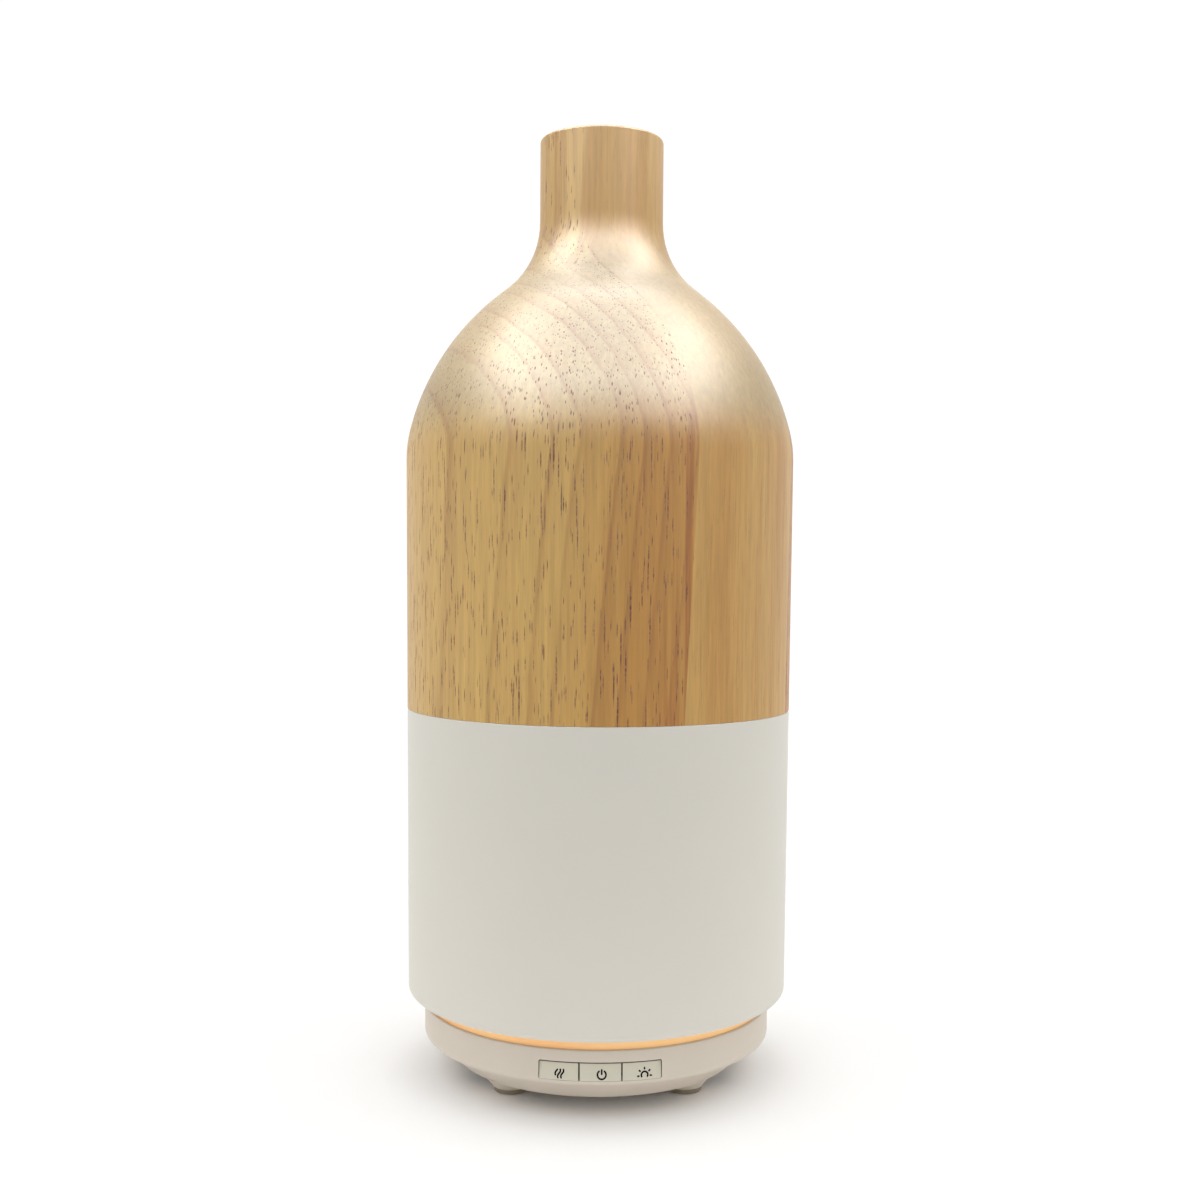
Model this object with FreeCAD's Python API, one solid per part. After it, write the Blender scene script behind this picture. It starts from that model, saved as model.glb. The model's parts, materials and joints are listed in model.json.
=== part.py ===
import FreeCAD, Part
import math
import os

# Bottle-shaped essential oil diffuser, in millimetres.
# It stands on z = 0 with its axis on Z. The buttons face -Y and the power inlet faces +Y.

# Lift-off cover: white sleeve below, turned wood above
LIP_Z = 17.24           # lower edge of the cover
LIP_R = 42.1
LIP_ROUND_R = 1.5       # the lower edge is rounded this far inwards
LIP_ROUND_Z = 1.9       # and this far up
SEAM_Z = 80.3           # joint between sleeve and wood
SEAM_R = 42.56
SEAM_CHAMFER = 0.2
SLEEVE_BORE_R = 39.8
LIP_BORE_R = 39.5
TONGUE_R = 40.2         # collar of the sleeve, glued into the wood
TONGUE_BORE_R = 38.6
TONGUE_TOP = 88.3
TONGUE_ROOT = 2.0       # the collar's wall starts this far below the seam
TONGUE_TAPER = 2.0      # and runs into the sleeve's wall over this height
GLUE_GAP = 0.05
SCREW_CLEARANCE = 0.25

# Wood shell
COVER_R = 43.0          # widest radius, where the shoulder starts
SHOULDER_Z = 135.0
SHOULDER_ARCS = ((27.1, 14.2), (54.9, 36.7))    # radius and turn in degrees, from the side upwards
NECK_FLARE = 19.6       # concave radius between shoulder and neck
NECK_R = 13.73
RIM_Z = 206.2
RIM_ROUND = 0.66
WOOD_WALL = 5.2
WOOD_BORE_R = 10.6
WOOD_BORE_FLARE = 8.0

# Plastic liner in the neck
LINER_R = 10.5
LINER_LOW_BORE_R = 9.4
LINER_TOP_BORE_R = 9.0
LINER_STEP_Z = 160.6
LINER_TOP = 205.5
LINER_MOUTH_R = 13.0
LINER_MOUTH_Z = 145.6
LINER_BOTTOM_Z = 150.6
LINER_MOUTH_WALL = 1.1
LINER_STEP = 2.0        # height of the slope between the two bores

# Base housing
BASE_R = 38.4
BASE_TOP = 14.87
DECK_BOTTOM = 13.0
DECK_BORE_R = 29.6
BASE_BORE_R = 36.6
BASE_EDGE = 0.3         # rounding of the upper edge
SHELL_SLOPE = ((34.4, 5.5), (35.2, 6.25), (37.5, 7.55))     # outside, from the parting upwards
SHELL_ROUND = (38.15, 8.1)      # middle of the arc from the slope into the upright side
SHELL_ROUND_TOP = 9.0
SHELL_INSIDE = ((36.6, 8.5), (33.4, 6.5), (32.6, 6.0))      # inside, downwards
PARTING_Z = 5.5         # joint between base shell and bottom plate
PLATE_R = 34.0
PLATE_Z = 2.9
PLATE_TOP = 4.7
SPIGOT_R = 32.4
SPIGOT_GAP = 0.2
SPIGOT_BORE_R = 30.8
PLATE_EDGE = 0.4        # height of the rounding under the plate's edge
PLATE_ROUND = (31.1, 31.4, 31.65)       # radii of that rounding: start, middle, end
FAN_POST_R = 1.8
SPIGOT_OVERLAP = 1.0    # bosses start this far inside the plate
SPIGOT_TOP = 7.0

# Feet
FOOT_RING_R = 26.2
FOOT_ANGLES = {"front_right": -45.0, "front_left": -135.0, "rear_right": 45.0, "rear_left": 135.0}
FOOT_R = 3.7
FOOT_FLAT_R = 3.2
FOOT_ROUND = 0.5        # height of the foot's rounded lower edge
FOOT_STEM_R = 3.3
FOOT_STEM_TOP = 2.3
BOSS_Z = 1.1
BOSS_R = 3.85
BOSS_ROOT_R = 5.6

# Screws from below: plate to base shell, and base shell to tank
BASE_SCREW_RING_R = 28.6
BASE_SCREW_ANGLES = (25.0, 155.0, 205.0, 335.0)
BASE_SCREW_R = 1.3
BASE_SCREW_TIP = 12.0
BASE_HEAD = 1.6
BASE_HEAD_R = 2.4
BASE_HEAD_GAP = 0.2
BASE_BOSS_R = 3.2
BASE_BOSS_Z = 7.2
TANK_SCREW_RING_R = 34.0
TANK_SCREW_ANGLES = (60.0, 120.0, 240.0, 300.0)
TANK_SCREW_R = 0.95
TANK_SCREW_TIP = 18.6
TANK_HEAD = 1.3
TANK_HEAD_R = 1.8
TANK_BOSS_R = 1.9

# Buttons
PANEL_HALF_X = 12.45
PANEL_LOW_Z = 8.64
PANEL_HIGH_Z = 12.5
PANEL_CORNER = 0.4
BUTTON_GAP = 0.15       # play beside a button
BUTTON_LOW_GAP = 0.05   # play below it
BUTTON_HIGH_GAP = 0.15  # play above it
BUTTON_SPLIT_X = 4.31   # middle of the gap between two buttons
BUTTON_LOW_R = 38.35    # face radius at its lower edge, flush with the base
BUTTON_HIGH_R = 37.8    # face radius at its upper edge, recessed
FLANGE_R = 36.3
FLANGE_BACK_R = 35.2
FLANGE_TOP = 12.8
STEM_R = 1.3
STEM_END_Y = -33.25
STEM_ROOT = 0.4         # the stem starts this far inside the flange
SWITCH_X = 8.58
SWITCH_Z = 10.35
SWITCH_SIZE = 4.5
SWITCH_BACK_Y = -30.8
SWITCH_FRONT_Y = -32.2
PLUNGER_R = 0.9
PLUNGER_Y = -32.6
PLUNGER_ROOT = 0.2
BOARD_THICK = 1.2
BOARD_HALF_X = 13.0
HOLDER_GAP = 0.1        # posts beside the button board
HOLDER_WALL = 1.2
HOLDER_Y = (-32.6, -29.4)
HOLDER_OVERLAP = 1.0

# Light ring and its board
RING_R = 37.6
RING_BORE_R = 36.0
RING_TOP = 17.44
LED_BOARD_R = 32.0
LED_BOARD_BORE_R = 29.8
LED_BOARD_TOP = 15.67
LED_COUNT = 12
LED_SPAN = (30.2, 31.9)         # radii between which a lamp sits
LED_HALF_WIDTH = 1.4
LED_HEIGHT = 1.6
RING_EDGE = 0.35

# Tank
TANK_R = 35.6
TANK_BORE_R = 33.4
TANK_TOP = 82.6
TANK_FLANGE_R = 38.6
TANK_FLANGE_TOP = 19.5
TANK_FLANGE_BORE_R = 31.0
TANK_FLOOR_Z = 32.6
TANK_FLOOR_TOP = 34.6
TANK_CORNER = 4.0
MIST_HOLE_R = 8.6
MIST_FUNNEL_R = 11.6     # the floor slopes down to the mist hole from here
MIST_FUNNEL = 0.8
RISER_X = -22.5
RISER_R = 6.5
RISER_BORE_R = 5.0
RISER_TOP = 76.6

# Inner hood on the tank
HOOD_R = 36.2
HOOD_Z = 82.8
HOOD_FLANGE_TOP = 84.6
HOOD_DOME_R = 34.2
HOOD_SPIGOT_R = 33.0
HOOD_SPIGOT_Z = 77.1
HOOD_WALL = 1.4
HOOD_SPIGOT_WALL = 1.2
HOOD_ARC = ((24.0, 75.0),)
HOOD_FLARE = 5.0
CHIMNEY_R = 7.6
CHIMNEY_LAP = 4.0       # overlap of the chimney tube and the hood's neck
CHIMNEY_TOP = 156.6
LEDGE_Z = 19.7          # ledge inside the cover, which rests on the tank's flange
LEDGE_TOP = 21.3
LEDGE_R = 36.9
LEDGE_SLOPE = 1.0

# Fan
FAN_X = -4.0
FAN_SIZE = 30.0
FAN_Z = 5.6
FAN_TOP = 12.6
FAN_BORE_R = 13.6
FAN_HUB_R = 6.4
FAN_STRUT_TOP = 6.6
FAN_BEARING_TOP = 8.6
FAN_BEARING_R = 1.8
FAN_CORNER_R = 2.0
FAN_HOLE_R = 1.4
FAN_HOLE_INSET = 2.8
FAN_STRUT_HALF = 0.8
FAN_STRUT_TURNS = (20.0, 110.0)
FAN_STRUT_OVERLAP = 0.3
SHAFT_R = 0.75
SHAFT_CLEARANCE = 0.05
SHAFT_Z = 6.3
SHAFT_TOP = 11.6
HUB_Z = 7.2
HUB_TOP = 12.0
HUB_WALL = 1.2
HUB_CROWN = 1.0
BLADE_COUNT = 7
BLADE_R = 12.6
BLADE_ROOT = 0.6        # a blade starts this far inside the hub's wall
BLADE_PITCH = 38.0
BLADE_CHORD = 5.4
BLADE_THICK = 0.8

# Air duct from the fan to the riser
DUCT_Z = 12.65
DUCT_TOP = 19.6
DUCT_WALL = 1.2
DUCT_FLOOR = 1.0
DUCT_R = 14.6
DUCT_PIPE_R = 6.2
DUCT_PIPE_TOP = 31.8

# Transducer under the tank's floor
DISC_R = 10.0
DISC_Z = 31.1
DISC_THICK = 0.65
SEAL_R = 12.0
SEAL_Z = 30.2
RETAINER_Z = 29.0
RETAINER_R = 12.8
RETAINER_BORE_R = 8.0
RETAINER_SCREW_R = 14.2
RETAINER_EAR_R = 2.6
RETAINER_ANGLES = (0.0, 120.0, 240.0)
SMALL_SCREW_R = 0.9
SMALL_HEAD_R = 1.7
SMALL_HEAD = 1.2
RETAINER_BOSS_R = 2.0
RETAINER_SCREW_TIP = 33.4

# Main board and what stands on it
MAIN_BOARD_R = 30.0
MAIN_BOARD_EDGE_X = -15.0
MAIN_BOARD_Z = 21.2
MAIN_BOARD_TOP = 22.8
BOARD_POSTS = ((-11.0, -24.0), (-11.0, 24.0), (22.0, -18.0), (22.0, 18.0))
POST_R = 2.6
BOARD_SCREW_TIP = 29.1
INDUCTOR_PLACE = (15.5, -14.0)
INDUCTOR_FLANGE_R = 4.0
INDUCTOR_WIRE_R = 3.4
INDUCTOR_FLANGE = 1.0
INDUCTOR_HEIGHT = 6.0
CAPACITOR_PLACE = (14.0, 16.0)
CAPACITOR_R = 3.2
CAPACITOR_HEIGHT = 8.0
CAPACITOR_EDGE = 0.6
SINK_X = (20.0, 27.6)
SINK_HALF_Y = 6.0
SINK_PLATE = 1.6
SINK_HEIGHT = 6.5
FIN_COUNT = 5
FIN_THICK = 1.2
CHIP_X = (-6.0, 0.0)
CHIP_Y = (-23.0, -17.0)
CHIP_LIFT = 0.2
CHIP_HEIGHT = 1.6
PIN_COUNT = 5
PIN_PITCH = 1.2
PIN_SIZE = 0.5
PIN_REACH = 1.0

# Power inlet
JACK_Z = 10.4
JACK_R = 3.3
JACK_COLLAR_R = 3.6
JACK_BORE_R = 2.75
JACK_ENTRY_R = 3.15
JACK_ENTRY_Y = 35.0
JACK_FRONT_Y = 36.9
JACK_BACK_Y = 24.0
JACK_BORE_Y = 27.0
JACK_HALF_X = 4.6
JACK_BODY_Z = 7.1
JACK_BODY_FRONT_Y = 35.4
JACK_BODY_TOP = 12.9
JACK_GAP = 0.1          # play between the inlet and the base shell
JACK_PIN_R = 1.05
JACK_PIN_ROOT = 2.0     # the pin is held over this length
JACK_PIN_RECESS = 0.3   # its nose stays this far behind the entry

# Wires
LEAD_R = 0.55
LEAD_BEND = 2.0
POWER_LEADS_X = (-1.5, 1.5)
POWER_LEADS_Y = 19.5
POWER_LEADS_Z = 10.6
FAN_LEADS_Y = (11.9, 13.4)
FAN_LEADS_REACH = 4.5
FAN_LEADS_Z = 10.1
DISC_LEADS_X = (-1.8, 1.8)
DISC_LEADS_TOP = (-5.5, 28.1)           # y and z where they leave the disc
DISC_LEADS_LOW = (-8.5, 25.8)           # y and z where they turn down to the board

FAR = 60.0              # larger than half the base, for cutting tools


def vec(x, y, z):
    return FreeCAD.Vector(x, y, z)


def rod(radius, low, high, x=0.0, y=0.0):
    """Round bar along Z."""
    return Part.makeCylinder(radius, high - low, vec(x, y, low))


def rod_y(radius, low, high, x, z):
    """Round bar along Y."""
    return Part.makeCylinder(radius, high - low, vec(x, low, z), vec(0, 1, 0))


def tube(outer, inner, low, high, x=0.0, y=0.0):
    return rod(outer, low, high, x, y).cut(rod(inner, low, high, x, y))


def block(x, y, z):
    """Box from three (low, high) pairs."""
    size = (x[1] - x[0], y[1] - y[0], z[1] - z[0])
    return Part.makeBox(*size, vec(x[0], y[0], z[0]))


def on_circle(radius, degrees):
    angle = math.radians(degrees)
    return radius * math.cos(angle), radius * math.sin(angle)


def fuse(shapes):
    return shapes[0].multiFuse(shapes[1:]).removeSplitter()


def turned(items):
    """Solid of revolution about Z. An item (r, z) is the end of a line, and
    (mid_r, mid_z, r, z) is an arc through its middle point to its end."""
    start = vec(items[0][0], 0, items[0][1])
    here = start
    edges = []
    for item in items[1:]:
        there = vec(item[-2], 0, item[-1])
        if len(item) == 4:
            middle = vec(item[0], 0, item[1])
            edges.append(Part.Arc(here, middle, there).toShape())
        else:
            edges.append(Part.LineSegment(here, there).toShape())
        here = there
    edges.append(Part.LineSegment(here, start).toShape())
    face = Part.Face(Part.Wire(edges))
    return face.revolve(vec(0, 0, 0), vec(0, 0, 1), 360)


def arc_item(centre_r, centre_z, radius, first, last):
    """Arc item about a centre, between two angles in degrees above the horizontal."""
    mid_r, mid_z = on_circle(radius, (first + last) / 2)
    end_r, end_z = on_circle(radius, last)
    return (centre_r + mid_r, centre_z + mid_z, centre_r + end_r, centre_z + end_z)


def dome(start_r, start_z, arcs, flare, neck_r):
    """Items from a vertical side over convex arcs, up a straight slope and round
    a concave flare into a vertical neck. Each join is tangent."""
    items = [(start_r, start_z)]
    r = start_r
    z = start_z
    lean = 0.0
    for radius, turn in arcs:
        back_r, back_z = on_circle(radius, lean)
        items.append(arc_item(r - back_r, z - back_z, radius, lean, lean + turn))
        r, z = items[-1][-2:]
        lean += turn
    cosine, sine = on_circle(1.0, lean)
    slope = (r - flare * (1 - cosine) - neck_r) / sine
    r -= slope * sine
    z += slope * cosine
    items.append((r, z))
    items.append(arc_item(r + flare * cosine, z + flare * sine, flare, 180 + lean, 180))
    return items


def rounded_panel(half_x, low, high, corner):
    """Prism along Y through the front wall, with rounded corners."""
    prism = block((-half_x, half_x), (-FAR, STEM_END_Y), (low, high))
    long_edges = [e for e in prism.Edges if abs(e.tangentAt(e.FirstParameter).y) > 0.9]
    return prism.makeFillet(corner, long_edges)


def bent_tube(points, bend, radius):
    """Round tube along straight runs joined by tangent arcs."""
    edges = []
    start = points[0]
    for corner, after in zip(points[1:-1], points[2:]):
        back = (start - corner).normalize()
        ahead = (after - corner).normalize()
        half = back.getAngle(ahead) / 2
        enter = corner + back * (bend / math.tan(half))
        leave = corner + ahead * (bend / math.tan(half))
        inwards = (back + ahead).normalize()
        middle = corner + inwards * (bend / math.sin(half) - bend)
        edges.append(Part.LineSegment(start, enter).toShape())
        edges.append(Part.Arc(enter, middle, leave).toShape())
        start = leave
    edges.append(Part.LineSegment(start, points[-1]).toShape())
    circle = Part.Wire(Part.makeCircle(radius, points[0], points[1] - points[0]))
    return Part.Wire(edges).makePipeShell([circle], True, True)


def screw(x, y, head_z, head_top, tip_z, radius, head_r):
    """Pan-head screw driven upwards, with a cross recess in its head."""
    recess_half = head_r * 0.55
    slot_half = head_r * 0.12
    depth = (head_top - head_z) * 0.5
    along = (head_z, head_z + depth)
    cross = block((x - recess_half, x + recess_half), (y - slot_half, y + slot_half), along)
    cross = cross.fuse(block((x - slot_half, x + slot_half), (y - recess_half, y + recess_half), along))
    head = rod(head_r, head_z, head_top, x, y)
    tip = Part.makeCone(radius, radius * 0.4, radius, vec(x, y, tip_z - radius))
    shank = rod(radius, head_top, tip_z - radius, x, y)
    return fuse([head, shank, tip]).cut(cross)


# Cover

def cover_sleeve():
    lip = LIP_Z + LIP_ROUND_Z
    corner = math.sqrt(0.5)
    items = [
        (LIP_BORE_R, LIP_Z),
        (LIP_R - LIP_ROUND_R, LIP_Z),
        (LIP_R - LIP_ROUND_R * (1 - corner), lip - LIP_ROUND_Z * corner, LIP_R, lip),
        (SEAM_R, SEAM_Z - SEAM_CHAMFER),
        (SEAM_R - SEAM_CHAMFER, SEAM_Z),
        (TONGUE_R, SEAM_Z),
        (TONGUE_R, TONGUE_TOP),
        (TONGUE_BORE_R, TONGUE_TOP),
        (TONGUE_BORE_R, SEAM_Z - TONGUE_ROOT),
        (SLEEVE_BORE_R, SEAM_Z - TONGUE_ROOT - TONGUE_TAPER),
        (SLEEVE_BORE_R, LEDGE_TOP + LEDGE_SLOPE),
        (LEDGE_R, LEDGE_TOP),
        (LEDGE_R, LEDGE_Z),
        (LIP_BORE_R, LEDGE_Z),
    ]
    return turned(items)


def wood_shell():
    inner_arcs = [(radius - WOOD_WALL, turn) for radius, turn in SHOULDER_ARCS]
    inner = dome(COVER_R - WOOD_WALL, SHOULDER_Z, inner_arcs, WOOD_BORE_FLARE, WOOD_BORE_R)
    corner = RIM_ROUND * (1 - math.sqrt(0.5))
    rim = [
        (NECK_R, RIM_Z - RIM_ROUND),
        (NECK_R - corner, RIM_Z - corner, NECK_R - RIM_ROUND, RIM_Z),
        (WOOD_BORE_R, RIM_Z),
    ]
    outer = [(TONGUE_R + GLUE_GAP, SEAM_Z), (SEAM_R, SEAM_Z)]
    outer += dome(COVER_R, SHOULDER_Z, SHOULDER_ARCS, NECK_FLARE, NECK_R)
    step_z = TONGUE_TOP + 2 * GLUE_GAP
    hollow = [(0, SEAM_Z - 1), (TONGUE_R + GLUE_GAP, SEAM_Z - 1), (TONGUE_R + GLUE_GAP, step_z)]
    hollow += [(COVER_R - WOOD_WALL, step_z)] + inner + [(WOOD_BORE_R, RIM_Z + 1), (0, RIM_Z + 1)]
    return turned([(0, SEAM_Z)] + outer[1:] + rim + [(0, RIM_Z)]).cut(turned(hollow))


def spout_liner():
    edge = 0.4
    items = [
        (LINER_MOUTH_R - LINER_MOUTH_WALL, LINER_MOUTH_Z),
        (LINER_MOUTH_R, LINER_MOUTH_Z),
        (LINER_R, LINER_BOTTOM_Z),
        (LINER_R, LINER_TOP),
        (LINER_TOP_BORE_R + edge, LINER_TOP),
        (LINER_TOP_BORE_R, LINER_TOP - edge),
        (LINER_TOP_BORE_R, LINER_STEP_Z),
        (LINER_LOW_BORE_R, LINER_STEP_Z - LINER_STEP),
        (LINER_LOW_BORE_R, LINER_BOTTOM_Z),
    ]
    return turned(items)


def mist_hood():
    """Loose lid on the tank: spigot, flange and dome, with a thin neck for the chimney tube."""
    outer = dome(HOOD_DOME_R, HOOD_FLANGE_TOP, HOOD_ARC, HOOD_FLARE, CHIMNEY_R)
    inner_arcs = [(radius - HOOD_WALL, turn) for radius, turn in HOOD_ARC]
    inner = dome(HOOD_DOME_R - HOOD_WALL, HOOD_FLANGE_TOP, inner_arcs, HOOD_FLARE + HOOD_WALL,
                 CHIMNEY_R - HOOD_WALL)
    neck_z = outer[-1][-1]
    lap_r = CHIMNEY_R - HOOD_WALL / 2
    spigot_bore = HOOD_SPIGOT_R - HOOD_SPIGOT_WALL
    body = turned([(0, HOOD_SPIGOT_Z), (HOOD_SPIGOT_R, HOOD_SPIGOT_Z), (HOOD_SPIGOT_R, HOOD_Z),
                   (HOOD_R, HOOD_Z), (HOOD_R, HOOD_FLANGE_TOP)] + outer
                  + [(lap_r, neck_z), (lap_r, neck_z + CHIMNEY_LAP), (0, neck_z + CHIMNEY_LAP)])
    hollow = turned([(0, HOOD_SPIGOT_Z), (spigot_bore, HOOD_SPIGOT_Z), (spigot_bore, HOOD_Z)]
                    + inner + [(CHIMNEY_R - HOOD_WALL, CHIMNEY_TOP), (0, CHIMNEY_TOP)])
    return body.cut(hollow)


def chimney_tube():
    """Tube pushed over the hood's thin neck, flush with it inside and outside."""
    neck_z = dome(HOOD_DOME_R, HOOD_FLANGE_TOP, HOOD_ARC, HOOD_FLARE, CHIMNEY_R)[-1][-1]
    bore_r = CHIMNEY_R - HOOD_WALL
    lap_r = CHIMNEY_R - HOOD_WALL / 2
    return turned([
        (lap_r, neck_z),
        (CHIMNEY_R, neck_z),
        (CHIMNEY_R, CHIMNEY_TOP),
        (bore_r, CHIMNEY_TOP),
        (bore_r, neck_z + CHIMNEY_LAP),
        (lap_r, neck_z + CHIMNEY_LAP),
    ])


# Base housing

def base_plate():
    plate = turned([
        (0, PLATE_Z),
        (PLATE_ROUND[0], PLATE_Z),
        (PLATE_ROUND[1], PLATE_Z + PLATE_EDGE / 4, PLATE_ROUND[2], PLATE_Z + PLATE_EDGE),
        (PLATE_R, PARTING_Z),
        (SPIGOT_R, PARTING_Z),
        (SPIGOT_R, SPIGOT_TOP),
        (SPIGOT_BORE_R, SPIGOT_TOP),
        (SPIGOT_BORE_R, PLATE_TOP),
        (0, PLATE_TOP),
    ])
    additions = [plate]
    holes = fan_inlet_slots()
    for angle in FOOT_ANGLES.values():
        x, y = on_circle(FOOT_RING_R, angle)
        height = PLATE_Z + PLATE_EDGE - BOSS_Z
        additions.append(Part.makeCone(BOSS_R, BOSS_ROOT_R, height, vec(x, y, BOSS_Z)))
        holes.append(rod(FOOT_STEM_R, BOSS_Z, FOOT_STEM_TOP, x, y))
    for angle in BASE_SCREW_ANGLES:
        x, y = on_circle(BASE_SCREW_RING_R, angle)
        boss_low = PLATE_TOP - SPIGOT_OVERLAP
        additions.append(rod(BASE_BOSS_R, boss_low, BASE_BOSS_Z - 2 * GLUE_GAP, x, y))
        holes.append(rod(BASE_HEAD_R + BASE_HEAD_GAP, PLATE_Z, PLATE_TOP, x, y))
        holes.append(rod(BASE_SCREW_R + SCREW_CLEARANCE, PLATE_Z, BASE_BOSS_Z, x, y))
    for x, y in fan_corners(FAN_CORNER_R):
        additions.append(rod(FAN_POST_R, PLATE_TOP - SPIGOT_OVERLAP, FAN_Z, x, y))
    return fuse(additions).cut(fuse(holes))


def fan_corners(inset):
    """Four places this far inside the fan's corners, along both sides."""
    reach = FAN_SIZE / 2 - inset
    return [(FAN_X + x_side * reach, y_side * reach) for x_side in (-1, 1) for y_side in (-1, 1)]


def fan_inlet_slots():
    """Parallel slots with round ends, inside a circle under the fan."""
    half_width = 0.8
    pitch = 2.8
    reach = 12.0
    slots = []
    for step in range(-4, 5):
        x = FAN_X + step * pitch
        half_y = math.sqrt(reach ** 2 - (step * pitch) ** 2) - half_width
        side = (x - half_width, x + half_width)
        slot = block(side, (-half_y, half_y), (PLATE_Z - 1, PLATE_TOP + 1))
        ends = [rod(half_width, PLATE_Z - 1, PLATE_TOP + 1, x, y) for y in (-half_y, half_y)]
        slots.append(fuse([slot] + ends))
    return slots


def foot(angle):
    x, y = on_circle(FOOT_RING_R, angle)
    corner = math.sqrt(0.5)
    round_r = FOOT_R - FOOT_FLAT_R
    shape = turned([
        (0, 0),
        (FOOT_FLAT_R, 0),
        (FOOT_FLAT_R + round_r * corner, FOOT_ROUND * (1 - corner), FOOT_R, FOOT_ROUND),
        (FOOT_R, BOSS_Z),
        (FOOT_STEM_R, BOSS_Z),
        (FOOT_STEM_R, FOOT_STEM_TOP),
        (0, FOOT_STEM_TOP),
    ])
    shape.translate(vec(x, y, 0))
    return shape


def base_shell():
    corner = BASE_EDGE * (1 - math.sqrt(0.5))
    shell = turned([
        (SPIGOT_R + SPIGOT_GAP, PARTING_Z),
        *SHELL_SLOPE,
        (*SHELL_ROUND, BASE_R, SHELL_ROUND_TOP),
        (BASE_R, BASE_TOP - BASE_EDGE),
        (BASE_R - corner, BASE_TOP - corner, BASE_R - BASE_EDGE, BASE_TOP),
        (DECK_BORE_R, BASE_TOP),
        (DECK_BORE_R, DECK_BOTTOM),
        (BASE_BORE_R, DECK_BOTTOM),
        *SHELL_INSIDE,
    ])
    additions = [shell]
    holes = [rounded_panel(PANEL_HALF_X, PANEL_LOW_Z, PANEL_HIGH_Z, PANEL_CORNER)]
    holes.append(rod_y(JACK_R + JACK_GAP, DECK_BORE_R - 1, FAR, 0, JACK_Z))
    holes.append(rod_y(JACK_COLLAR_R + JACK_GAP, JACK_ENTRY_Y - JACK_GAP, FAR, 0, JACK_Z))
    pocket_x = JACK_HALF_X + JACK_GAP
    holes.append(block((-pocket_x, pocket_x), (DECK_BORE_R, JACK_BODY_FRONT_Y + JACK_GAP),
                       (JACK_BODY_Z - JACK_GAP, DECK_BOTTOM)))
    for angle in BASE_SCREW_ANGLES:
        x, y = on_circle(BASE_SCREW_RING_R, angle)
        additions.append(rod(BASE_BOSS_R, BASE_BOSS_Z, BASE_TOP, x, y))
        holes.append(rod(BASE_SCREW_R + GLUE_GAP, BASE_BOSS_Z - 1, DECK_BOTTOM, x, y))
    for angle in TANK_SCREW_ANGLES:
        x, y = on_circle(TANK_SCREW_RING_R, angle)
        holes.append(rod(TANK_SCREW_R + SCREW_CLEARANCE, DECK_BOTTOM - 1, BASE_TOP + 1, x, y))
    for side in (-1, 1):
        near = BOARD_HALF_X + HOLDER_GAP
        x = sorted((side * near, side * (near + HOLDER_WALL)))
        additions.append(block(x, HOLDER_Y, (BASE_BOSS_Z, DECK_BOTTOM + HOLDER_OVERLAP)))
    return fuse(additions).cut(fuse(holes))


def base_screws():
    head = (PLATE_TOP - BASE_HEAD, PLATE_TOP - GLUE_GAP)
    places = [on_circle(BASE_SCREW_RING_R, angle) for angle in BASE_SCREW_ANGLES]
    return [screw(x, y, *head, BASE_SCREW_TIP, BASE_SCREW_R, BASE_HEAD_R) for x, y in places]


def light_ring():
    return turned([
        (RING_BORE_R, BASE_TOP),
        (RING_R, BASE_TOP),
        (RING_R, RING_TOP - RING_EDGE),
        (RING_R - RING_EDGE, RING_TOP),
        (RING_BORE_R, RING_TOP),
    ])


def led_board():
    return tube(LED_BOARD_R, LED_BOARD_BORE_R, BASE_TOP, LED_BOARD_TOP)


def leds():
    """Small square lamps that look outwards at the light ring."""
    lamps = []
    for index in range(LED_COUNT):
        lamp = block(LED_SPAN, (-LED_HALF_WIDTH, LED_HALF_WIDTH),
                     (LED_BOARD_TOP, LED_BOARD_TOP + LED_HEIGHT))
        lamp.rotate(vec(0, 0, 0), vec(0, 0, 1), (index + 0.5) * 360 / LED_COUNT)
        lamps.append(lamp)
    return lamps


# Buttons

def button(low_x, high_x, stem_x):
    """Push button: sloping face, hidden flange behind the wall, stem to the switch."""
    low_z = PANEL_LOW_Z + BUTTON_LOW_GAP
    high_z = PANEL_HIGH_Z - BUTTON_HIGH_GAP
    cap = turned([(FLANGE_BACK_R, low_z), (BUTTON_LOW_R, low_z), (BUTTON_HIGH_R, high_z),
                  (FLANGE_BACK_R, high_z)])
    opening = rounded_panel(PANEL_HALF_X - BUTTON_GAP, low_z, high_z, PANEL_CORNER - BUTTON_GAP)
    flange = tube(FLANGE_R, FLANGE_BACK_R, low_z, FLANGE_TOP)
    slab = block((low_x, high_x), (-FAR, 0), (PANEL_LOW_Z, FLANGE_TOP))
    stem = rod_y(STEM_R, STEM_ROOT - FLANGE_R, STEM_END_Y, stem_x, SWITCH_Z)
    return fuse([cap.common(opening).common(slab), flange.common(slab), stem])


def button_board():
    x = (-BOARD_HALF_X, BOARD_HALF_X)
    y = (SWITCH_BACK_Y, SWITCH_BACK_Y + BOARD_THICK)
    return block(x, y, (BASE_BOSS_Z, FLANGE_TOP))


def tact_switches():
    half = SWITCH_SIZE / 2
    switches = []
    for x in (-SWITCH_X, 0.0, SWITCH_X):
        y = (SWITCH_FRONT_Y, SWITCH_BACK_Y)
        case = block((x - half, x + half), y, (SWITCH_Z - half, SWITCH_Z + half))
        plunger = rod_y(PLUNGER_R, PLUNGER_Y, SWITCH_FRONT_Y + PLUNGER_ROOT, x, SWITCH_Z)
        switches.append(case.fuse(plunger))
    return switches


# Tank and mist maker

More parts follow.
